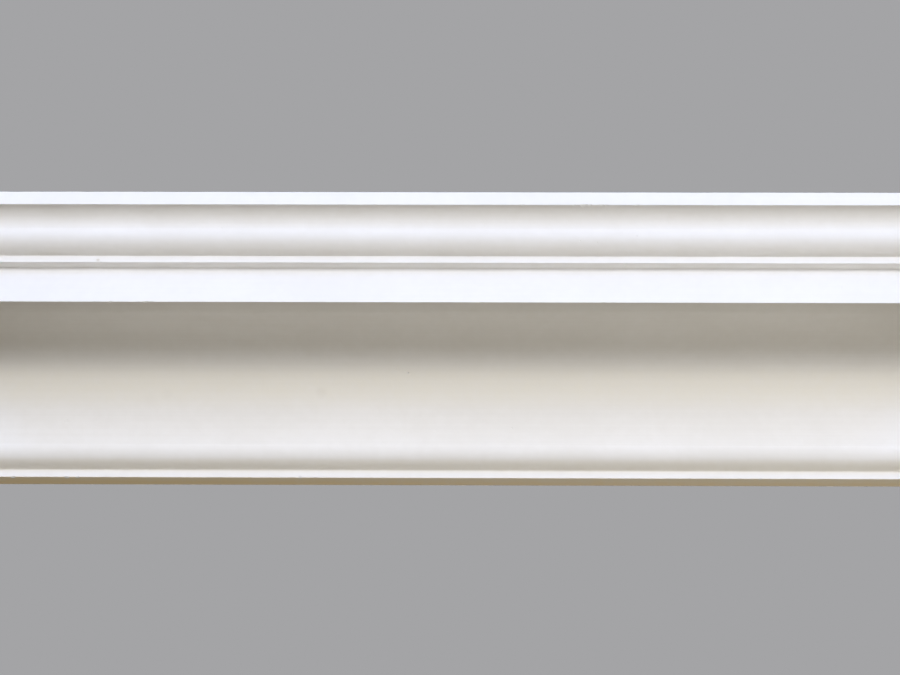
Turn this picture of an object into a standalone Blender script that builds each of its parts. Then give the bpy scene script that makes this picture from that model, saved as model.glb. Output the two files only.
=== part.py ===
"""A length of cast plaster crown moulding, cut square at both ends.

Metres, +Z up. The moulding is set as it hangs in a room: its back meets the wall on the plane
y = 0 and its top meets the ceiling, it faces -Y, and it runs along X. The origin is the middle
of the flat face that beds on the wall.
"""

import math

import bmesh
import bpy
from mathutils import Vector

# Driving dimensions, from the ceiling down to the wall
LENGTH = 0.520
TOP_FILLET = 0.0106
CYMA_RADIUS = 0.0103
SMALL_FILLET = 0.0052
SMALL_SOFFIT = 0.0056
FASCIA = 0.0258
FASCIA_SOFFIT = 0.0077
COVE_RADIUS = 0.0544
COVE_TURN = math.radians(12)
NOSE_RADIUS = 0.0105
BOTTOM_FILLET = 0.0054
BOTTOM_SOFFIT = 0.0067
BACK_THICKNESS = 0.0140
ARRIS_SOFTENING = 0.0004

# Smoothness of the curved members
STEPS_PER_ARC = 20
SOFTENING_STEPS = 2
SHARP_ANGLE = math.radians(30)
MERGE_DISTANCE = 0.00001

PLASTER_COLOUR = (0.87, 0.86, 0.84, 1.0)
PLASTER_ROUGHNESS = 0.72


def direction(angle):
    return Vector((math.cos(angle), math.sin(angle)))


class Outline:
    """A closed outline drawn with a pen: straight strokes and quarter circles, end to end.

    x is the distance out from the wall, and y the height, which is 0 at the ceiling. Each
    point keeps the handles that shape the stroke before it and the stroke after it.
    """

    def __init__(self, start):
        self.points = [Vector(start)]
        self.handles_in = [None]
        self.handles_out = [None]

    def line(self, across, up):
        """A straight stroke, given by how far it runs."""
        self.points.append(self.points[-1] + Vector((across, up)))
        self.handles_in.append(None)
        self.handles_out.append(None)

    def line_to(self, point):
        self.line(*(Vector(point) - self.points[-1]))

    def quarter(self, radius, start_angle, turn):
        """A quarter circle: turn is 1 for anticlockwise round its centre, -1 for clockwise."""
        pen = self.points[-1]
        centre = pen - radius * direction(start_angle)
        end_angle = start_angle + turn * math.pi / 2
        end = centre + radius * direction(end_angle)
        reach = turn * radius * 4 / 3 * math.tan(math.pi / 8)
        self.handles_out[-1] = pen + reach * direction(start_angle + math.pi / 2)
        self.points.append(end)
        self.handles_in.append(end - reach * direction(end_angle + math.pi / 2))
        self.handles_out.append(None)
        return centre


def overall_size():
    """The projection along the ceiling and the drop down the wall."""
    cove_inward = COVE_RADIUS * (math.cos(COVE_TURN) + math.sin(COVE_TURN))
    cove_down = COVE_RADIUS * (math.cos(COVE_TURN) - math.sin(COVE_TURN))
    projection = (2 * CYMA_RADIUS + SMALL_SOFFIT + FASCIA_SOFFIT + cove_inward
                  + NOSE_RADIUS + BOTTOM_SOFFIT)
    drop = (TOP_FILLET + 2 * CYMA_RADIUS + SMALL_FILLET + FASCIA + cove_down
            + NOSE_RADIUS + BOTTOM_FILLET)
    return projection, drop


def section():
    """The outline of the moulding, and the height of the wall face's upper arris."""
    projection, drop = overall_size()
    pen = Outline((projection, 0))
    pen.line(0, -TOP_FILLET)

    # Cyma recta: hollow above, round below
    pen.quarter(CYMA_RADIUS, math.pi / 2, 1)
    pen.quarter(CYMA_RADIUS, 0, -1)
    pen.line(0, -SMALL_FILLET)
    pen.line(-SMALL_SOFFIT, 0)
    pen.line(0, -FASCIA)
    pen.line(-FASCIA_SOFFIT, 0)

    # The cove starts a little undercut and ends a little short of plumb
    cove_centre = pen.quarter(COVE_RADIUS, math.pi / 2 - COVE_TURN, 1)
    pen.quarter(NOSE_RADIUS, 0, -1)
    pen.line(0, -BOTTOM_FILLET)
    pen.line(-BOTTOM_SOFFIT, 0)

    # The back is flat and parallel to the face, behind the deepest part of the cove
    out_of_face = Vector((drop, -projection)).normalized()
    back_depth = cove_centre.dot(out_of_face) - COVE_RADIUS - BACK_THICKNESS
    wall_face_top = back_depth / out_of_face.y
    pen.line_to((0, wall_face_top))
    pen.line_to((back_depth / out_of_face.x, 0))
    return pen, wall_face_top


def filled_curve(name, outline):
    """The flat outline as a filled curve, drawn out to the moulding's length."""
    curve = bpy.data.curves.new(name, "CURVE")
    curve.dimensions = "2D"
    curve.fill_mode = "BOTH"
    curve.extrude = LENGTH / 2
    curve.resolution_u = STEPS_PER_ARC
    spline = curve.splines.new("BEZIER")
    spline.bezier_points.add(len(outline.points) - 1)
    spline.use_cyclic_u = True
    for knot, place, before, after in zip(spline.bezier_points, outline.points,
                                          outline.handles_in, outline.handles_out):
        knot.co = place.to_3d()
        knot.handle_left_type = "FREE" if before else "VECTOR"
        knot.handle_right_type = "FREE" if after else "VECTOR"
        if before:
            knot.handle_left = before.to_3d()
        if after:
            knot.handle_right = after.to_3d()
    return bpy.data.objects.new(name, curve)


def lengthwise(edge):
    along = edge.verts[1].co - edge.verts[0].co
    return abs(along.z) > along.xy.length


def end_faces(solid, side):
    return [face for face in solid.faces if face.normal.z * side > 0.5]


def softened_mesh(blank):
    """The blank as one closed mesh, its arrises softened and its sawn ends left crisp."""
    depsgraph = bpy.context.evaluated_depsgraph_get()
    mesh = bpy.data.meshes.new_from_object(blank.evaluated_get(depsgraph))
    solid = bmesh.new()
    solid.from_mesh(mesh)
    bmesh.ops.remove_doubles(solid, verts=solid.verts, dist=MERGE_DISTANCE)
    for side in (-1, 1):
        bmesh.ops.dissolve_faces(solid, faces=end_faces(solid, side))
    arrises = [edge for edge in solid.edges
               if lengthwise(edge) and edge.calc_face_angle() > SHARP_ANGLE]
    bmesh.ops.bevel(solid, geom=arrises, offset=ARRIS_SOFTENING, offset_type="OFFSET",
                    segments=SOFTENING_STEPS, profile=0.5, affect="EDGES")
    solid.to_mesh(mesh)
    solid.free()
    mesh.shade_smooth()
    mesh.set_sharp_from_angle(angle=SHARP_ANGLE)
    return mesh


def plaster():
    material = bpy.data.materials.new("plaster")
    material.use_nodes = True
    shader = material.node_tree.nodes["Principled BSDF"]
    shader.inputs["Base Color"].default_value = PLASTER_COLOUR
    shader.inputs["Roughness"].default_value = PLASTER_ROUGHNESS
    shader.inputs["Metallic"].default_value = 0.0
    return material


def moulding_length(collection):
    """Stands the section up, with its x out from the wall along -Y, and makes it solid."""
    outline, wall_face_top = section()
    drop = overall_size()[1]
    blank = filled_curve("blank", outline)
    blank.rotation_euler = (math.pi / 2, 0, -math.pi / 2)
    blank.location.z = (drop - wall_face_top) / 2
    collection.objects.link(blank)
    bpy.context.view_layer.update()

    piece = bpy.data.objects.new("crown_moulding_length", softened_mesh(blank))
    piece.matrix_world = blank.matrix_world
    piece.data.materials.append(plaster())
    collection.objects.link(piece)
    bpy.data.objects.remove(blank)
    return piece


def main():
    for old in list(bpy.data.objects):
        bpy.data.objects.remove(old)
    collection = bpy.data.collections.new("Crown moulding length")
    bpy.context.scene.collection.children.link(collection)
    moulding_length(collection)


if __name__ == "__main__":
    main()
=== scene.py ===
"""Dresses a length of plaster crown moulding: the cast itself, and the studio round it.

Metres, +Z up. The moulding hangs as it does in a room: it runs along X, its back is towards +Y
and its top is the ceiling face. It is seen from in front and below, square on to its slope.
"""

import math
import random
from contextlib import contextmanager

import bmesh
import bpy
from mathutils import Matrix, Vector


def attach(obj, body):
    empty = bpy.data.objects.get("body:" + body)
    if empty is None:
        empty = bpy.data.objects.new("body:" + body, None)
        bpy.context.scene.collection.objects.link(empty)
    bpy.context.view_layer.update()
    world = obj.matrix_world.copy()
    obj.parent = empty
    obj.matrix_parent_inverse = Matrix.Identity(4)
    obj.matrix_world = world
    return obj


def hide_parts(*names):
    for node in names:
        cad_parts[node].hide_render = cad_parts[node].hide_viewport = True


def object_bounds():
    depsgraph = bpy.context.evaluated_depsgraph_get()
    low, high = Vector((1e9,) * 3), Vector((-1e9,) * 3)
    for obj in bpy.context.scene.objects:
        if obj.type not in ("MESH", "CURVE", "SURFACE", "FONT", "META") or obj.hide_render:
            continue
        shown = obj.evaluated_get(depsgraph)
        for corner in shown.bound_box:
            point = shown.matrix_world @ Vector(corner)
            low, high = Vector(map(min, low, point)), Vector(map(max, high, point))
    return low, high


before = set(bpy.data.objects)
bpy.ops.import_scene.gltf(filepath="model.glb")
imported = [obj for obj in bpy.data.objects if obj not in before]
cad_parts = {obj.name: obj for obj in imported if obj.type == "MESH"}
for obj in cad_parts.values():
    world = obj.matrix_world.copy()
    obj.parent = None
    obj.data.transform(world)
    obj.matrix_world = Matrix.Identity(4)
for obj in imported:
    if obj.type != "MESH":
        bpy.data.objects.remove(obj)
CAD_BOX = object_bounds()

bl_info = {
    "name": "Crown Moulding Length",
    "version": (1, 0, 0),
    "blender": (4, 5, 0),
    "location": "View3D > Sidebar > Moulding",
    "description": "Casts, nicks, finishes and lights a length of plaster crown moulding",
    "category": "Object",
}

NODE = "crown_moulding_length"

# The photograph's frame, in pixels, and the width of the sensor behind it
PHOTO_WIDTH = 900
PHOTO_HEIGHT = 675
SENSOR_WIDTH = 0.036
MM_PER_METRE = 1000

# Tolerances used when faces and points are merged or compared
MERGE_DISTANCE = 0.00001
FLAT_ANGLE = math.radians(1)
SHARP_ANGLE = math.radians(32)
SQUARE_ON = 0.9999
SQUARE_OFF = 0.01
ON_FACE = 0.0001

# The members with an upright face, from the ceiling down
UPRIGHTS = ("top fillet", "small fillet", "fascia", "bottom fillet")

# How far the solid's arrises and inner corners are rounded, and the wider roundings that the
# inner corners over two of the uprights take here
ARRIS_SOFTENING = 0.0004
CORNER_RADII = {"fascia": 0.0017, "bottom fillet": 0.0007}
CORNER_STEPS = 4

# The lumps that bite into the plaster: how ragged they are, how far in a nick reaches for its
# bite, how it leans, and how long an air hole is for its width
LUMP_JITTER = 0.22
NICK_REACH = 4.0
NICK_TILT = math.radians(-17)
HOLE_STRETCH = 1.2

# Crumbs lost round the sawn ends and along each arris of the back: how many, and their bite
CRUMB_SEED = 5
END_CRUMBS = 26
BACK_CRUMBS = 9
CRUMB_BITE = (0.0003, 0.0007)

# Their half sizes, in bites: into the plaster, over the face of an end, and along the back
CRUMB_WIDTH = 1.5
END_CRUMB_REACH = (1.0, 2.2)
BACK_CRUMB_LENGTH = (2.0, 7.0)

# The relief: how wide its patches are, how far they are drawn out, and how the saw marks lean
RIPPLE_PATCH = 0.045
BACK_PATCH = 0.022
BACK_STRETCH = (4, 1, 1)
SAW_PATCH = 0.004
SAW_STRETCH = (1, 1, 12)
SAW_TILT = math.radians(38)

# How far from its arrises a hidden face sinks freely, and the bedding faces' share of depth
ARRIS_FADE = 0.004
BEDDING_SHARE = 0.3

# The finishes, in the order of the piece's material slots, how much they shine, how far the
# fine tooth lines of the sawn ends are drawn out, and the share of a stain that is its core
MOULDED, STRUCK, SAWN = range(3)
SHINE = 0.3
TOOTH_STRETCH = (1.0, 1.0, 25.0)
STAIN_CORE = 0.1

# A brown tint on the bottom soffit, stronger towards the back, and stronger again towards the
# left end, where it is painted shade for the light that falls off there: how high over the
# lowest point it starts to fade and ends, then its strength along y and along x, each as where
# it starts and ends and how strong there
FOOT_HEIGHTS = (0.0001, 0.0003)
FOOT_INWARD = (-0.007, 0.0, 0.5, 0.88)
FOOT_RIGHTWARD = (-0.24, 0.10, 1.35, 0.95)

# Where each light stands: its azimuth, 0 in front and 90 on the right, and its elevation, both
# in degrees, then its distance and how many degrees wide it looks from the moulding
KEY_PLACE = ((8, 5.7), 5.0, 10.5)
HIGH_PLACE = ((0, 44), 5.0, 55)
BOUNCE_PLACE = ((90, -72), 1.5, 8)
SIDE_PLACES = (((-100, 12), 5.0, 30), ((100, 12), 5.0, 30))
REAR_PLACE = ((150, 62), 5.0, 40)

# The floor: its sides, the shares of its radius between which it melts into the backdrop, and
# how much of its brightness near the middle is its own, so that it looks even
FLOOR_SIDES = 96
FLOOR_FADE = (0.15, 0.9)
FLOOR_GLOW = 0.75
FLOOR_ROUGHNESS = 0.9

# Nicks along the lower arris of an upright: the column of the photograph, length and bite
ARRIS_NICKS = {
    "top fillet": (
        (523, 0.0026, 0.0003), (574, 0.0024, 0.0003), (584, 0.0052, 0.0006),
        (589, 0.0036, 0.0005), (601, 0.0042, 0.0006), (607, 0.0024, 0.0003),
        (637, 0.0030, 0.0003), (671, 0.0024, 0.0003),
    ),
    "fascia": (
        (109, 0.0028, 0.0006), (145, 0.0044, 0.0006), (151, 0.0034, 0.0004),
        (481, 0.0030, 0.0003), (603, 0.0024, 0.0003),
    ),
    "small fillet": (
        (99, 0.0030, 0.0005), (705, 0.0018, 0.0003),
    ),
    "bottom fillet": (
        (12, 0.0030, 0.0005), (66, 0.0036, 0.0004), (77, 0.0026, 0.0004),
        (300, 0.0022, 0.0003), (760, 0.0024, 0.0003),
    ),
}

# Air holes left by the cast: where each shows in the photograph, and its width
AIR_HOLES = (
    ((580, 241), 0.0007), ((597, 243), 0.0006), ((637, 236), 0.0006),
    ((626, 265.5), 0.0011), ((408, 373), 0.0010), ((176, 352), 0.0005),
    ((731, 401), 0.0005), ((512, 428), 0.0005), ((268, 331), 0.0006),
    ((842, 287), 0.0005), ((222, 228), 0.0005), ((67, 420), 0.0006),
)

# Faint stains on the surface, and dark spots of painted shade in the air holes at 408, 373 and
# 626, 265.5: where each shows in the photograph, its radius and its strength
STAINS_AND_HOLE_SHADE = (
    ((322, 392), 0.0045, 0.07), ((167, 394), 0.0045, 0.04), ((408, 373), 0.0010, 0.35),
    ((98, 260), 0.0016, 0.40), ((626, 265.5), 0.0010, 0.40), ((150, 400), 0.0060, 0.03),
    ((560, 470), 0.0050, 0.04), ((300, 477), 0.0014, 0.20),
)

# Bands in the cove and under the nose that are tinted warmer and darker by height: the heights
# at which each one begins, is fullest from, is fullest to and ends, and its colour
TINT_BANDS = (
    (0.0170, 0.0300, 0.0330, 0.0405, (0.875, 0.853, 0.78)),
    (-0.0130, -0.0092, -0.0083, -0.0062, (0.81, 0.79, 0.74)),
)


def length_property(name, description, default):
    return bpy.props.FloatProperty(name=name, description=description, default=default,
                                   min=0.0, precision=5, subtype="DISTANCE", unit="LENGTH")


def colour_property(name, description, default):
    return bpy.props.FloatVectorProperty(name=name, description=description, default=default,
                                         min=0.0, max=1.0, size=3, subtype="COLOR")


def angle_property(name, description, degrees):
    return bpy.props.FloatProperty(name=name, description=description,
                                   default=math.radians(degrees), subtype="ANGLE",
                                   unit="ROTATION")


def amount_property(name, description, default):
    return bpy.props.FloatProperty(name=name, description=description, default=default,
                                   min=0.0)


class CastSettings(bpy.types.PropertyGroup):
    """Sizes and colours of the plaster cast."""

    mesh_step: length_property(
        "Mesh step", "Widest face on the flats and between cross cuts", 0.0020)
    end_step: length_property(
        "End step", "Spacing of the grid on the sawn ends", 0.0015)
    ripple: length_property(
        "Ripple", "Depth of the slow ripples left on the moulded face", 0.00006)
    back_depth: length_property(
        "Back relief", "Depth of the hollows and drag marks on the struck back", 0.0009)
    saw_depth: length_property(
        "Saw marks", "Depth of the saw marks on the ends", 0.00035)
    face_colour: colour_property(
        "Face", "Colour of the moulded face", (0.875, 0.870, 0.860))
    face_shade: colour_property(
        "Face shade", "Duller colour clouded over the moulded face", (0.845, 0.838, 0.822))
    stain_and_pore_shade_colour: colour_property(
        "Stain", "Colour of the few faint stains", (0.44, 0.37, 0.26))
    foot_colour: colour_property(
        "Foot", "Colour of the browned soffit at the foot", (0.90, 0.76, 0.52))
    back_colour: colour_property(
        "Back", "Colour of the struck back", (0.82, 0.812, 0.79))
    back_shade: colour_property(
        "Back shade", "Colour of the hollows of the struck back", (0.71, 0.70, 0.675))
    sawn_colour: colour_property(
        "Sawn end", "Colour of freshly sawn plaster", (0.86, 0.855, 0.84))
    roughness: amount_property(
        "Roughness", "Roughness of the dry plaster", 0.72)


class StageSettings(bpy.types.PropertyGroup):
    """The camera, the lights, the floor and the backdrop."""

    camera_distance: length_property(
        "Distance", "From the camera to the middle of the moulded face", 1.20587)
    camera_rise: length_property(
        "Rise", "How far the camera sits above the middle of the face", 0.00073)
    focal_length: length_property(
        "Focal length", "Focal length of the lens", 0.085)
    camera_pitch: angle_property(
        "Pitch", "How steeply the camera looks up, square on to the slope", 43.92)
    camera_yaw: angle_property(
        "Yaw", "How far the camera stands round towards the right end", 0.6)
    camera_roll: angle_property(
        "Roll", "How far the moulding runs downhill to the right", 0.12)
    floor_drop: length_property(
        "Floor drop", "How far the floor is below the wall face", 1.9)
    floor_radius: length_property(
        "Floor radius", "Radius of the pale floor", 12.0)
    floor_colour: colour_property(
        "Floor", "Colour of the pale floor", (0.50, 0.495, 0.485))
    backdrop_colour: colour_property(
        "Backdrop", "Colour of the plain grey backdrop", (0.371, 0.371, 0.381))
    room_colour: colour_property(
        "Room", "Colour of the faint light from all round", (0.055, 0.045, 0.032))
    key_strength: amount_property(
        "Key", "Irradiance from the low soft key light", 2.68)
    key_colour: colour_property(
        "Key colour", "Colour of the key light", (0.965, 0.965, 1.0))
    high_strength: amount_property(
        "High light", "Irradiance from the cool light higher up", 2.05)
    high_colour: colour_property(
        "High colour", "Colour of the high light", (0.515, 0.65, 1.0))
    bounce_strength: amount_property(
        "Bounce", "Irradiance from the warm light below", 0.93)
    bounce_colour: colour_property(
        "Bounce colour", "Colour of the light from below", (1.0, 0.94, 0.82))
    side_strength: amount_property(
        "Side lights", "Irradiance on the sawn ends", 1.2)
    rear_strength: amount_property(
        "Rear light", "Irradiance on the back", 2.4)
    rear_colour: colour_property(
        "Rear colour", "Colour of the light on the back", (1.0, 0.95, 0.85))


class Value:
    """A node's output that reads like a number: each operator adds one Math node."""

    def __init__(self, nodes, socket):
        self.nodes = nodes
        self.socket = socket

    def math(self, operation, *terms):
        return self.nodes.add("ShaderNodeMath", {"operation": operation}, dict(enumerate(terms)))

    def __add__(self, other):
        return self.math("ADD", self, other)

    def __sub__(self, other):
        return self.math("SUBTRACT", self, other)

    def __rsub__(self, other):
        return self.math("SUBTRACT", other, self)

    def __mul__(self, other):
        return self.math("MULTIPLY", self, other)

    __radd__ = __add__
    __rmul__ = __mul__


class Nodes:
    """A node tree that is filled one node at a time."""

    def __init__(self, tree):
        self.tree = tree

    def add(self, kind, settings=None, inputs=None, output=0):
        """Adds a node, makes its settings, fills its inputs and hands back one output."""
        node = self.tree.nodes.new(kind)
        for name, setting in (settings or {}).items():
            setattr(node, name, setting)
        for name, value in (inputs or {}).items():
            self.feed(node.inputs[name], value)
        return Value(self, node.outputs[output])

    def feed(self, socket, value):
        if isinstance(value, Value):
            self.tree.links.new(value.socket, socket)
        else:
            socket.default_value = value

    def mix(self, factor, first, second):
        """Blends from the first colour, at factor 0, to the second, at factor 1."""
        # The node's colours go in at 6 and 7, and its blend comes out at 2
        settings = {"data_type": "RGBA", "clamp_factor": True}
        colours = [colour if isinstance(colour, Value) else (*colour, 1.0)
                   for colour in (first, second)]
        return self.add("ShaderNodeMix", settings, {0: factor, 6: colours[0], 7: colours[1]}, 2)

    def ramp(self, value, start, end, low=0.0, high=1.0):
        """Runs smoothly from low at start to high at end, and stays level past them."""
        inputs = {"Value": value, "From Min": start, "From Max": end,
                  "To Min": low, "To Max": high}
        return self.add("ShaderNodeMapRange", {"interpolation_type": "SMOOTHSTEP"}, inputs)


class Finish(Nodes):
    """A plaster finish, patterned by place on the object."""

    def __init__(self, name):
        self.material = bpy.data.materials.new(name)
        self.material.use_nodes = True
        super().__init__(self.material.node_tree)
        self.shader = self.tree.nodes["Principled BSDF"]
        self.shader.inputs["Metallic"].default_value = 0.0
        self.shader.inputs["Specular IOR Level"].default_value = SHINE
        self.place = self.add("ShaderNodeTexCoord", output="Object")

    def noise(self, size, detail, place=None):
        """Noise whose patches are about size across."""
        inputs = {"Vector": place or self.place, "Scale": 1 / size, "Detail": detail}
        return self.add("ShaderNodeTexNoise", inputs=inputs)

    def pores(self, per_metre, ragged, full, end):
        """1 inside scattered pores, from full to end falling to 0 between them."""
        cells = self.add("ShaderNodeTexVoronoi", {"feature": "F1"},
                         {"Vector": self.place, "Scale": per_metre}, "Distance")
        return self.ramp(cells + ragged, full, end, 1.0, 0.0)

    def drawn_out(self, share):
        """The place with its x shortened, so that patterns run along the moulding."""
        return self.add("ShaderNodeMapping", {"vector_type": "POINT"},
                        {"Vector": self.place, "Scale": (share, 1.0, 1.0)})

    def along(self, axis):
        """How far the place is along one axis."""
        return self.add("ShaderNodeSeparateXYZ", inputs={0: self.place}, output=axis)

    def distance(self, point):
        return self.add("ShaderNodeVectorMath", {"operation": "DISTANCE"},
                        {0: self.place, 1: point}, "Value")

    def done(self, colour, height, roughness):
        """Feeds the shader: a colour, a height in metres for the bump, and a roughness."""
        bump = self.add("ShaderNodeBump", inputs={"Distance": 1.0, "Height": height})
        self.feed(self.shader.inputs["Base Color"], colour)
        self.feed(self.shader.inputs["Roughness"], roughness)
        self.feed(self.shader.inputs["Normal"], bump)
        return self.material


def moulded_finish(cast, stains_and_hole_shade):
    """Smooth cast plaster: faint clouds, drawn lines, tinted bands, a few stains, painted shade
    in two air holes, and a brown foot with painted shade towards the left end.
    """
    finish = Finish("moulded plaster")
    clouds = finish.noise(size=0.050, detail=3.0)
    mottle = finish.noise(size=0.006, detail=4.0)
    drawn = finish.noise(size=0.0011, detail=3.0, place=finish.drawn_out(0.006))
    grain = finish.noise(size=0.0005, detail=2.0)

    dullness = finish.ramp(0.5 * clouds + 0.3 * mottle + 0.2 * drawn, start=0.36, end=0.64)
    colour = finish.mix(dullness, cast.face_colour, cast.face_shade)
    height = finish.along("Z")
    # Tints bands in the cove and under the nose, warmer and darker, by height
    for start, full, waning, end, tint in TINT_BANDS:
        band = finish.ramp(height, start, full) * finish.ramp(height, waning, end, 1.0, 0.0)
        colour = finish.mix(band * (0.5 + 0.6 * mottle), colour, tint)
    # Stains, and dark spots of painted shade in two air holes
    for point, radius, strength in stains_and_hole_shade:
        ragged = finish.distance(point) + (mottle - 0.5) * radius
        share = finish.ramp(ragged, STAIN_CORE * radius, radius, strength, 0.0)
        colour = finish.mix(share, colour, cast.stain_and_pore_shade_colour)
    # A brown tint on the bottom soffit; its extra strength towards the left end is painted shade
    full, end = (CAD_BOX[0].z + rise for rise in FOOT_HEIGHTS)
    under = finish.ramp(height, full, end, 1.0, 0.0)
    inward = finish.ramp(finish.along("Y"), *FOOT_INWARD)
    rightward = finish.ramp(finish.along("X"), *FOOT_RIGHTWARD)
    tinted = under * inward * rightward * (0.7 + 0.6 * mottle)
    colour = finish.mix(tinted, colour, cast.foot_colour)
    bumps = 0.000012 * grain + 0.000010 * drawn + 0.00006 * mottle
    return finish.done(colour, bumps, cast.roughness - 0.04 + 0.08 * mottle)


def struck_finish(cast):
    """The back, struck off by hand while wet: hollows, drag marks and open pores, darkened with
    painted shade.
    """
    finish = Finish("struck plaster")
    clouds = finish.noise(size=0.040, detail=4.0)
    mottle = finish.noise(size=0.004, detail=5.0)
    drag = finish.noise(size=0.0016, detail=4.0, place=finish.drawn_out(0.03))
    pores = finish.pores(per_metre=260.0, ragged=0.25 * mottle, full=0.20, end=0.30)

    dullness = finish.ramp(0.4 * clouds + 0.3 * mottle + 0.3 * drag, start=0.34, end=0.66)
    colour = finish.mix(dullness, cast.back_colour, cast.back_shade)
    # Darkens the open pores: painted shade in them
    colour = finish.mix(0.35 * pores, colour, cast.stain_and_pore_shade_colour)
    bumps = 0.00022 * drag + 0.00020 * mottle - 0.00030 * pores
    return finish.done(colour, bumps, cast.roughness + 0.06 + 0.12 * mottle)


def sawn_finish(cast):
    """The sawn ends: paler, with fine tooth lines and the air holes the saw laid open, darkened
    with painted shade.
    """
    finish = Finish("sawn plaster")
    tilted = finish.add("ShaderNodeMapping", {"vector_type": "TEXTURE"},
                        {"Vector": finish.place, "Rotation": (SAW_TILT, 0.0, 0.0),
                         "Scale": TOOTH_STRETCH})
    teeth = finish.noise(size=0.0009, detail=3.0, place=tilted)
    mottle = finish.noise(size=0.005, detail=5.0)
    holes = finish.pores(per_metre=150.0, ragged=0.3 * mottle, full=0.22, end=0.28)

    dullness = finish.ramp(0.6 * teeth + 0.4 * mottle, start=0.38, end=0.62)
    colour = finish.mix(dullness, cast.sawn_colour, cast.back_shade)
    # Darkens the air holes: painted shade in them
    colour = finish.mix(0.4 * holes, colour, cast.stain_and_pore_shade_colour)
    bumps = 0.00012 * teeth + 0.00008 * mottle - 0.00035 * holes
    return finish.done(colour, bumps, cast.roughness + 0.08 + 0.10 * teeth)


def chipped_finish(cast):
    """Broken plaster inside the nicks: chalky and coarse."""
    finish = Finish("chipped plaster")
    mottle = finish.noise(size=0.0008, detail=4.0)
    colour = finish.mix(mottle, cast.face_colour, cast.back_colour)
    bumps = 0.00010 * mottle
    return finish.done(colour, bumps, cast.roughness + 0.10 + 0.10 * mottle)


def only(piece):
    """Selects the piece alone and makes it the active one."""
    bpy.ops.object.select_all(action="DESELECT")
    piece.select_set(True)
    bpy.context.view_layer.objects.active = piece


@contextmanager
def editing(piece, kind):
    """Edit mode on one piece, with vertices, edges or faces to pick."""
    only(piece)
    bpy.ops.object.mode_set(mode="EDIT")
    bpy.ops.mesh.select_mode(type=kind)
    yield
    bpy.ops.object.mode_set(mode="OBJECT")


def pick(piece, elements, wanted):
    """Selects the vertices, edges or faces that pass the test."""
    bpy.ops.mesh.select_all(action="DESELECT")
    shape = bmesh.from_edit_mesh(piece.data)
    chosen = [element for element in getattr(shape, elements) if wanted(element)]
    for element in chosen:
        element.select_set(True)
    shape.select_flush_mode()
    bmesh.update_edit_mesh(piece.data)


def lengthwise(edge):
    """Whether an edge runs along the moulding."""
    along = edge.verts[1].co - edge.verts[0].co
    return abs(along.x) > abs(along.y) + abs(along.z)


def is_end(face):
    """Whether a face belongs to a sawn end."""
    return abs(face.normal.x) > 0.5


def plain_copy():
    """A copy of the solid as a new piece, its loose triangles merged into clean faces."""
    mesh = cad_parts[NODE].data.copy()
    mesh.materials.clear()
    piece = bpy.data.objects.new("cast_crown_moulding", mesh)
    bpy.context.scene.collection.objects.link(piece)
    with editing(piece, "VERT"):
        bpy.ops.mesh.select_all(action="SELECT")
        bpy.ops.mesh.remove_doubles(threshold=MERGE_DISTANCE)
        bpy.ops.mesh.dissolve_limited(angle_limit=FLAT_ANGLE)
    return piece


def upright_flats(piece):
    """The y and z ranges of the flat members that face the room, by name."""
    found = []
    for face in piece.data.polygons:
        if face.normal.y < -SQUARE_ON:
            corners = [piece.data.vertices[index].co for index in face.vertices]
            found.append(((min(c.y for c in corners), max(c.y for c in corners)),
                          (min(c.z for c in corners), max(c.z for c in corners))))
    found.sort(key=lambda ranges: -ranges[1][1])
    if len(found) != len(UPRIGHTS):
        raise RuntimeError(f"expected {len(UPRIGHTS)} upright members and found {len(found)}")
    return dict(zip(UPRIGHTS, found))


def widen_corner(piece, y, z, radius):
    """Widens the small rounding that the solid has in the inner corner at y and z."""
    reach = ARRIS_SOFTENING + MERGE_DISTANCE

    def near(vertex):
        return abs(vertex.co.y - y) < reach and abs(vertex.co.z - z) < reach

    with editing(piece, "EDGE"):
        pick(piece, "edges", lambda edge: lengthwise(edge) and near(edge.verts[0])
             and edge.calc_face_angle() > SHARP_ANGLE)
        bpy.ops.mesh.bevel(offset=ARRIS_SOFTENING / 2, segments=CORNER_STEPS, affect="EDGES")
        bpy.ops.mesh.select_mode(type="VERT")
        pick(piece, "verts", near)
        growth = radius / ARRIS_SOFTENING
        bpy.ops.transform.resize(value=(1, growth, growth), center_override=(0, y, z))


def split_flats(piece, step):
    """Divides every strip that is wider than the step, across the section."""
    with editing(piece, "EDGE"):
        while True:
            shape = bmesh.from_edit_mesh(piece.data)
            wide = next((face for face in shape.faces if not is_end(face)
                         and any(not lengthwise(edge) and edge.calc_length() > step
                                 for edge in face.edges)), None)
            if wide is None:
                break
            rungs = {edge.index for edge in wide.edges if not lengthwise(edge)}
            width = max(edge.calc_length() for edge in wide.edges if not lengthwise(edge))
            pick(piece, "edges", lambda edge: edge.index in rungs)
            bpy.ops.mesh.subdivide(number_cuts=math.ceil(width / step) - 1)


def cut_across(piece, step):
    """Cuts the whole length into equal columns, in two rounds."""
    length = CAD_BOX[1].x - CAD_BOX[0].x
    rounds = math.ceil(math.sqrt(length / step))
    with editing(piece, "EDGE"):
        for _ in range(2):
            pick(piece, "edges", lengthwise)
            bpy.ops.mesh.subdivide(number_cuts=rounds - 1)


def grid_ends(piece, step):
    """Cuts a square grid into both end faces."""
    low, high = CAD_BOX
    with editing(piece, "FACE"):
        for axis in (1, 2):
            normal = Vector((0, 0, 0))
            normal[axis] = 1.0
            for count in range(1, math.ceil((high[axis] - low[axis]) / step)):
                place = normal * (low[axis] + count * step)
                pick(piece, "faces", is_end)
                bpy.ops.mesh.bisect(plane_co=place, plane_no=normal)


def pixels_per_slope(stage):
    """How many pixels of the photograph a slope of 1 away from the view axis covers."""
    return stage.focal_length / SENSOR_WIDTH * PHOTO_WIDTH


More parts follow.
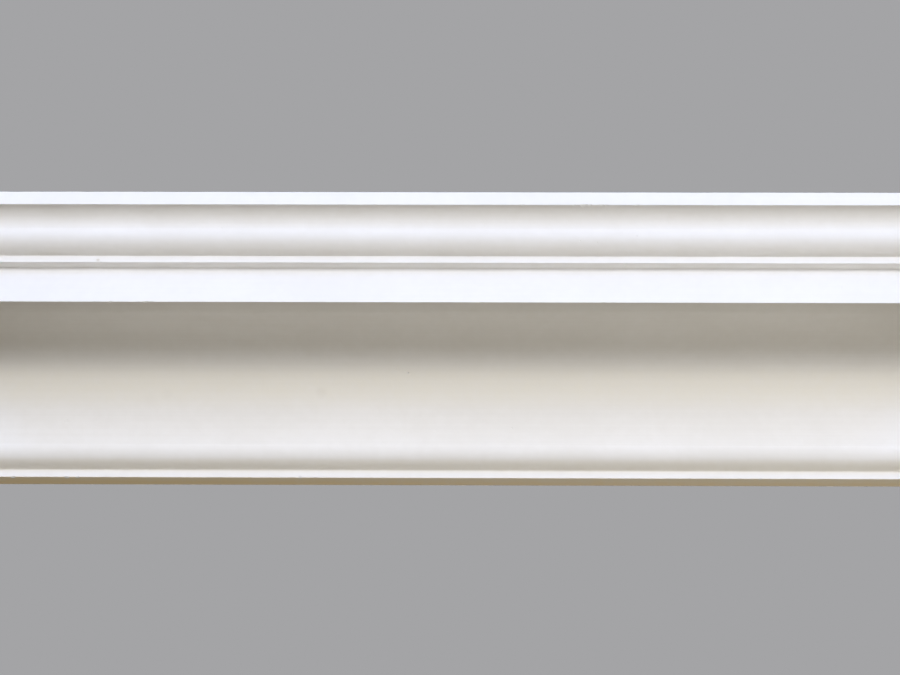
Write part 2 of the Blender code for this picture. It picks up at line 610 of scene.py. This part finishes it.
def seen_at(stage, column, row):
    """The point of the moulding that shows at a place in the photograph."""
    view = camera_matrix(stage)
    way = Vector((column - PHOTO_WIDTH / 2, PHOTO_HEIGHT / 2 - row, -pixels_per_slope(stage)))
    hit, point, _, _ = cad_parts[NODE].ray_cast(view.translation, view.to_3x3() @ way)
    if not hit:
        raise RuntimeError(f"nothing of the moulding shows at {column}, {row}")
    return point


def seen_on_arris(stage, column, y, z):
    """The point of a lengthwise arris that shows in a column of the photograph."""
    middle = camera_matrix(stage).inverted() @ Vector((0, y, z))
    across = (column - PHOTO_WIDTH / 2) / pixels_per_slope(stage) * -middle.z
    return Vector((across - middle.x, y, z))


def lump(place, size, seed, tilt=0.0):
    """One ragged lump that bites where it meets the plaster."""
    bpy.ops.object.select_all(action="DESELECT")
    bpy.ops.mesh.primitive_ico_sphere_add(subdivisions=2, radius=1.0, location=place)
    cutter = bpy.context.object
    with editing(cutter, "VERT"):
        bpy.ops.mesh.select_all(action="SELECT")
        bpy.ops.transform.vertex_random(offset=LUMP_JITTER, uniform=0.6, normal=0.4, seed=seed)
    cutter.scale = size
    cutter.rotation_euler.x = tilt
    bpy.ops.object.transform_apply(location=True, rotation=True, scale=True)
    return cutter


def nicks(stage, uprights):
    """Flat tilted lumps that break the lower arrises off in slanting facets."""
    lumps = []
    for member, places in ARRIS_NICKS.items():
        (front, _), (flat_foot, _) = uprights[member]
        for column, length, bite in places:
            place = seen_on_arris(stage, column, front, flat_foot - ARRIS_SOFTENING)
            size = (length / 2, NICK_REACH * bite, bite)
            lumps.append(lump(place, size, len(lumps), NICK_TILT))
    return lumps


def air_holes(stage):
    """Small lumps for the air holes, set half into the surface."""
    lumps = []
    for (column, row), width in AIR_HOLES:
        point = seen_at(stage, column, row)
        half = width / 2
        size = (HOLE_STRETCH * half, half, half)
        lumps.append(lump(point, size, len(AIR_HOLES) + len(lumps)))
    return lumps


def rim_places(piece, draw):
    """Places spread evenly round the rims of the sawn ends, while each face is a full strip."""
    strips = [face for face in piece.data.polygons if not is_end(face)]
    chosen = draw.choices(strips, [strip.area for strip in strips], k=END_CRUMBS)
    return [piece.data.vertices[draw.choice(strip.vertices)].co.copy() for strip in chosen]


def crumbs(places, draw):
    """Lumps for the crumbs lost round the sawn ends."""
    lumps = []
    for seed, place in enumerate(places):
        bite = draw.uniform(*CRUMB_BITE)
        size = (CRUMB_WIDTH * bite, draw.uniform(*END_CRUMB_REACH) * bite,
                draw.uniform(*END_CRUMB_REACH) * bite)
        lumps.append(lump(place, size, seed))
    return lumps


def back_crumbs(arrises, draw):
    """Lumps for the crumbs lost along the hidden arrises of the back."""
    lumps = []
    low, high = CAD_BOX
    for arris in arrises:
        for seed in range(BACK_CRUMBS):
            bite = draw.uniform(*CRUMB_BITE)
            place = Vector((draw.uniform(low.x, high.x), arris.y, arris.z))
            size = (draw.uniform(*BACK_CRUMB_LENGTH) * bite, CRUMB_WIDTH * bite,
                    CRUMB_WIDTH * bite)
            lumps.append(lump(place, size, seed))
    return lumps


def carve(piece, lumps, material):
    """Takes all the lumps out of the piece at once, and leaves broken plaster there."""
    bpy.ops.object.select_all(action="DESELECT")
    for cutter in lumps:
        cutter.select_set(True)
    bpy.context.view_layer.objects.active = lumps[0]
    bpy.ops.object.join()
    cutter = bpy.context.object
    with editing(cutter, "FACE"):
        bpy.ops.mesh.select_all(action="SELECT")
        bpy.ops.mesh.intersect_boolean(operation="UNION", use_self=True)
    cutter.data.materials.append(material)
    only(piece)
    bite = piece.modifiers.new("chips", "BOOLEAN")
    bite.operation = "DIFFERENCE"
    bite.object = cutter
    bite.material_mode = "TRANSFER"
    bpy.ops.object.modifier_apply(modifier=bite.name)
    bpy.data.objects.remove(cutter)


def depth_group(piece, name, share):
    """A vertex group weighted by place: 1 takes a point to its full depth, 0 leaves it."""
    group = piece.vertex_groups.new(name=name)
    for vertex in piece.data.vertices:
        weight = share(vertex.co)
        if weight > 0:
            group.add([vertex.index], weight, "REPLACE")


def relief(piece, name, depth, patch, stretch=(1, 1, 1), tilt=0.0):
    """Sinks the named group's points into the plaster, by clouds about a patch wide."""
    clouds = bpy.data.textures.new(name, "CLOUDS")
    clouds.noise_scale = patch
    clouds.noise_depth = 3
    guide = bpy.data.objects.new(name + " guide", None)
    guide.scale = stretch
    guide.rotation_euler.x = tilt
    bpy.context.scene.collection.objects.link(guide)
    bpy.context.view_layer.update()
    only(piece)
    sink = piece.modifiers.new(name, "DISPLACE")
    sink.texture = clouds
    sink.texture_coords = "OBJECT"
    sink.texture_coords_object = guide
    sink.mid_level = 1.0
    sink.strength = depth
    sink.vertex_group = name
    bpy.ops.object.modifier_apply(modifier=sink.name)
    bpy.data.objects.remove(guide)
    bpy.data.textures.remove(clouds)


def inner_end_share(piece):
    """A test for points inside the sawn ends, away from their rims."""
    inner = set()
    rim = set()
    for face in piece.data.polygons:
        (inner if is_end(face) else rim).update(face.vertices)
    places = {piece.data.vertices[index].co.to_tuple() for index in inner - rim}
    return lambda point: float(point.to_tuple() in places)


def smooth(piece):
    """Smooth shading that keeps the arrises crisp and the flats flat."""
    only(piece)
    bpy.ops.object.shade_smooth_by_angle(angle=SHARP_ANGLE)
    even = piece.modifiers.new("even shading", "WEIGHTED_NORMAL")
    even.keep_sharp = True
    bpy.ops.object.modifier_apply(modifier=even.name)


def fade(distance, width):
    """0 at an arris, rising smoothly to 1 at the width."""
    share = min(max(distance / width, 0.0), 1.0)
    return share * share * (3 - 2 * share)


class HiddenFace:
    """A flat face that the room never sees: the back, or a face that beds on wall or ceiling."""

    def __init__(self, mesh, face):
        self.place = face.center.copy()
        self.out = face.normal.copy()
        self.along = self.out.cross(Vector((1, 0, 0)))
        self.half_width = max(abs((mesh.vertices[index].co - self.place).dot(self.along))
                              for index in face.vertices)
        self.slopes = max(self.out.y, self.out.z) < SQUARE_ON

    def arrises(self):
        """A point on each of its two long arrises."""
        return [self.place + side * self.half_width * self.along for side in (-1, 1)]

    def freedom(self, point):
        """How freely a point of it may sink: not at all at its arrises or off the face."""
        offset = point - self.place
        inset = self.half_width - abs(offset.dot(self.along))
        if abs(offset.dot(self.out)) > ON_FACE or inset < 0:
            return 0.0
        from_end = min(point.x - CAD_BOX[0].x, CAD_BOX[1].x - point.x)
        share = 1.0 if self.slopes else BEDDING_SHARE
        return share * fade(inset, ARRIS_FADE) * fade(from_end, ARRIS_FADE)


def is_hidden(face):
    """Whether a face looks back at the wall or up at the ceiling."""
    return not is_end(face) and min(face.normal.y, face.normal.z) > -SQUARE_OFF


def hidden_faces(piece):
    """The wall face, the sloping back and the ceiling face: the three widest hidden ones."""
    faces = sorted((face for face in piece.data.polygons if is_hidden(face)),
                   key=lambda face: face.area)
    return [HiddenFace(piece.data, face) for face in faces[-3:]]


def finish_slot(face):
    """The slot of the finish that a face takes."""
    if is_end(face):
        return SAWN
    return STRUCK if is_hidden(face) else MOULDED


def camera_matrix(stage):
    """Where the camera stands and how it looks, square on to the middle of the slope."""
    low, high = CAD_BOX
    middle = (low + high) / 2
    turn = Matrix.Rotation(stage.camera_pitch + math.pi / 2, 3, "X")
    turn = turn @ Matrix.Rotation(stage.camera_yaw, 3, "Y")
    back = turn @ Vector((0, 0, 1))
    rise = turn @ Vector((0, 1, 0))
    place = middle + stage.camera_distance * back + stage.camera_rise * rise
    rolled = turn @ Matrix.Rotation(stage.camera_roll, 3, "Z")
    return Matrix.Translation(place) @ rolled.to_4x4()


def softbox(name, irradiance, colour, source, distance, width):
    """A round soft light that looks at the moulding, as bright there as irradiance says.

    The source is its azimuth, 0 in front and 90 on the right, and its elevation.
    """
    light = bpy.data.lights.new(name, "AREA")
    light.shape = "DISK"
    light.size = 2 * distance * math.tan(math.radians(width / 2))
    light.energy = irradiance * math.pi * distance ** 2
    light.color = colour
    lamp = bpy.data.objects.new(name, light)
    turn, rise = (math.radians(angle) for angle in source)
    way = Vector((math.sin(turn) * math.cos(rise), -math.cos(turn) * math.cos(rise),
                  math.sin(rise)))
    lamp.location = (CAD_BOX[0] + CAD_BOX[1]) / 2 + distance * way
    lamp.rotation_euler = way.to_track_quat("Z", "Y").to_euler()
    lamp.visible_camera = False
    bpy.context.scene.collection.objects.link(lamp)


def camera(stage):
    """Puts a camera where the photograph was taken from."""
    lens = bpy.data.cameras.new("camera")
    lens.sensor_width = SENSOR_WIDTH * MM_PER_METRE
    lens.lens = stage.focal_length * MM_PER_METRE
    viewer = bpy.data.objects.new("camera", lens)
    viewer.matrix_world = camera_matrix(stage)
    bpy.context.scene.collection.objects.link(viewer)
    bpy.context.scene.camera = viewer


def floor(stage):
    """A pale round floor that melts into the backdrop; it throws no light on the moulding."""
    bpy.ops.object.select_all(action="DESELECT")
    bpy.ops.mesh.primitive_circle_add(vertices=FLOOR_SIDES, radius=stage.floor_radius,
                                      fill_type="NGON")
    ground = bpy.context.object
    ground.name = "floor"
    ground.location.z = -stage.floor_drop
    ground.visible_diffuse = False
    ground.visible_glossy = False
    paint = bpy.data.materials.new("floor")
    paint.use_nodes = True
    nodes = Nodes(paint.node_tree)
    shader = paint.node_tree.nodes["Principled BSDF"]
    shader.inputs["Base Color"].default_value = (*stage.floor_colour, 1.0)
    shader.inputs["Roughness"].default_value = FLOOR_ROUGHNESS
    place = nodes.add("ShaderNodeTexCoord", output="Object")
    reach = nodes.add("ShaderNodeVectorMath", {"operation": "LENGTH"}, {0: place}, "Value")
    near, far = (share * stage.floor_radius for share in FLOOR_FADE)
    melted = nodes.ramp(reach, near, far)
    even = nodes.mix(melted, stage.floor_colour, stage.backdrop_colour)
    glow = nodes.add("ShaderNodeEmission", inputs={"Color": even})
    share = nodes.ramp(reach, 0.0, far, FLOOR_GLOW, 1.0)
    blended = nodes.add("ShaderNodeMixShader", inputs={
        0: share, 1: Value(nodes, shader.outputs["BSDF"]), 2: glow})
    nodes.feed(paint.node_tree.nodes["Material Output"].inputs["Surface"], blended)
    ground.data.materials.append(paint)


def room(stage):
    """A plain grey backdrop behind everything, and the little light that the room gives."""
    world = bpy.data.worlds.new("room")
    world.use_nodes = True
    bpy.context.scene.world = world
    nodes = Nodes(world.node_tree)
    behind = nodes.add("ShaderNodeLightPath", output="Is Camera Ray")
    colour = nodes.mix(behind, stage.room_colour, stage.backdrop_colour)
    nodes.feed(world.node_tree.nodes["Background"].inputs["Color"], colour)


class MOULDING_OT_cast(bpy.types.Operator):
    """Make the plaster cast round the solid: its relief, nicks, air holes and finishes"""

    bl_idname = "moulding.cast"
    bl_label = "Cast the Moulding"
    bl_options = {"REGISTER", "UNDO"}

    def execute(self, context):
        cast = context.scene.moulding_cast
        stage = context.scene.moulding_stage
        draw = random.Random(CRUMB_SEED)
        piece = plain_copy()
        uprights = upright_flats(piece)
        hidden = hidden_faces(piece)
        back = next(face for face in hidden if face.slopes)

        for member, radius in CORNER_RADII.items():
            (front, _), (_, flat_top) = uprights[member]
            widen_corner(piece, front, flat_top + ARRIS_SOFTENING, radius)
        split_flats(piece, cast.mesh_step)
        rim = rim_places(piece, draw)
        grid_ends(piece, cast.end_step)
        cut_across(piece, cast.mesh_step)

        stains_and_hole_shade = [(seen_at(stage, *where), radius, strength)
                  for where, radius, strength in STAINS_AND_HOLE_SHADE]
        for finish in (moulded_finish(cast, stains_and_hole_shade), struck_finish(cast), sawn_finish(cast)):
            piece.data.materials.append(finish)
        for face in piece.data.polygons:
            face.material_index = finish_slot(face)

        lumps = nicks(stage, uprights) + air_holes(stage) + crumbs(rim, draw)
        lumps += back_crumbs(back.arrises(), draw)
        carve(piece, lumps, chipped_finish(cast))

        def freedom(point):
            return max(face.freedom(point) for face in hidden)

        depth_group(piece, "back", freedom)
        depth_group(piece, "ends", inner_end_share(piece))
        depth_group(piece, "face", lambda point: float(freedom(point) == 0))
        relief(piece, "back", cast.back_depth, BACK_PATCH, BACK_STRETCH)
        relief(piece, "ends", cast.saw_depth, SAW_PATCH, SAW_STRETCH, SAW_TILT)
        relief(piece, "face", cast.ripple, RIPPLE_PATCH)
        smooth(piece)

        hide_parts(NODE)
        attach(piece, "root")
        return {"FINISHED"}


class MOULDING_OT_stage(bpy.types.Operator):
    """Set up the camera, the lights, the pale floor and the grey backdrop"""

    bl_idname = "moulding.stage"
    bl_label = "Set the Stage"
    bl_options = {"REGISTER", "UNDO"}

    def execute(self, context):
        stage = context.scene.moulding_stage
        camera(stage)
        softbox("key", stage.key_strength, stage.key_colour, *KEY_PLACE)
        softbox("high", stage.high_strength, stage.high_colour, *HIGH_PLACE)
        softbox("bounce", stage.bounce_strength, stage.bounce_colour, *BOUNCE_PLACE)
        for place in SIDE_PLACES:
            softbox("side", stage.side_strength, stage.key_colour, *place)
        softbox("rear", stage.rear_strength, stage.rear_colour, *REAR_PLACE)
        floor(stage)
        room(stage)
        context.scene.view_settings.view_transform = "Standard"
        return {"FINISHED"}


class MOULDING_PT_sidebar(bpy.types.Panel):
    """The moulding's tools and settings"""

    bl_idname = "MOULDING_PT_sidebar"
    bl_label = "Crown Moulding"
    bl_space_type = "VIEW_3D"
    bl_region_type = "UI"
    bl_category = "Moulding"

    def draw(self, context):
        for settings, operator in ((context.scene.moulding_cast, MOULDING_OT_cast),
                                   (context.scene.moulding_stage, MOULDING_OT_stage)):
            box = self.layout.box()
            box.operator(operator.bl_idname)
            for name in settings.__annotations__:
                box.prop(settings, name)


CLASSES = (CastSettings, StageSettings, MOULDING_OT_cast, MOULDING_OT_stage,
           MOULDING_PT_sidebar)


def register():
    for kind in CLASSES:
        bpy.utils.register_class(kind)
    bpy.types.Scene.moulding_cast = bpy.props.PointerProperty(type=CastSettings)
    bpy.types.Scene.moulding_stage = bpy.props.PointerProperty(type=StageSettings)


def unregister():
    del bpy.types.Scene.moulding_stage
    del bpy.types.Scene.moulding_cast
    for kind in reversed(CLASSES):
        bpy.utils.unregister_class(kind)


def main():
    register()
    bpy.ops.moulding.cast()
    bpy.ops.moulding.stage()


if __name__ == "__main__":
    main()
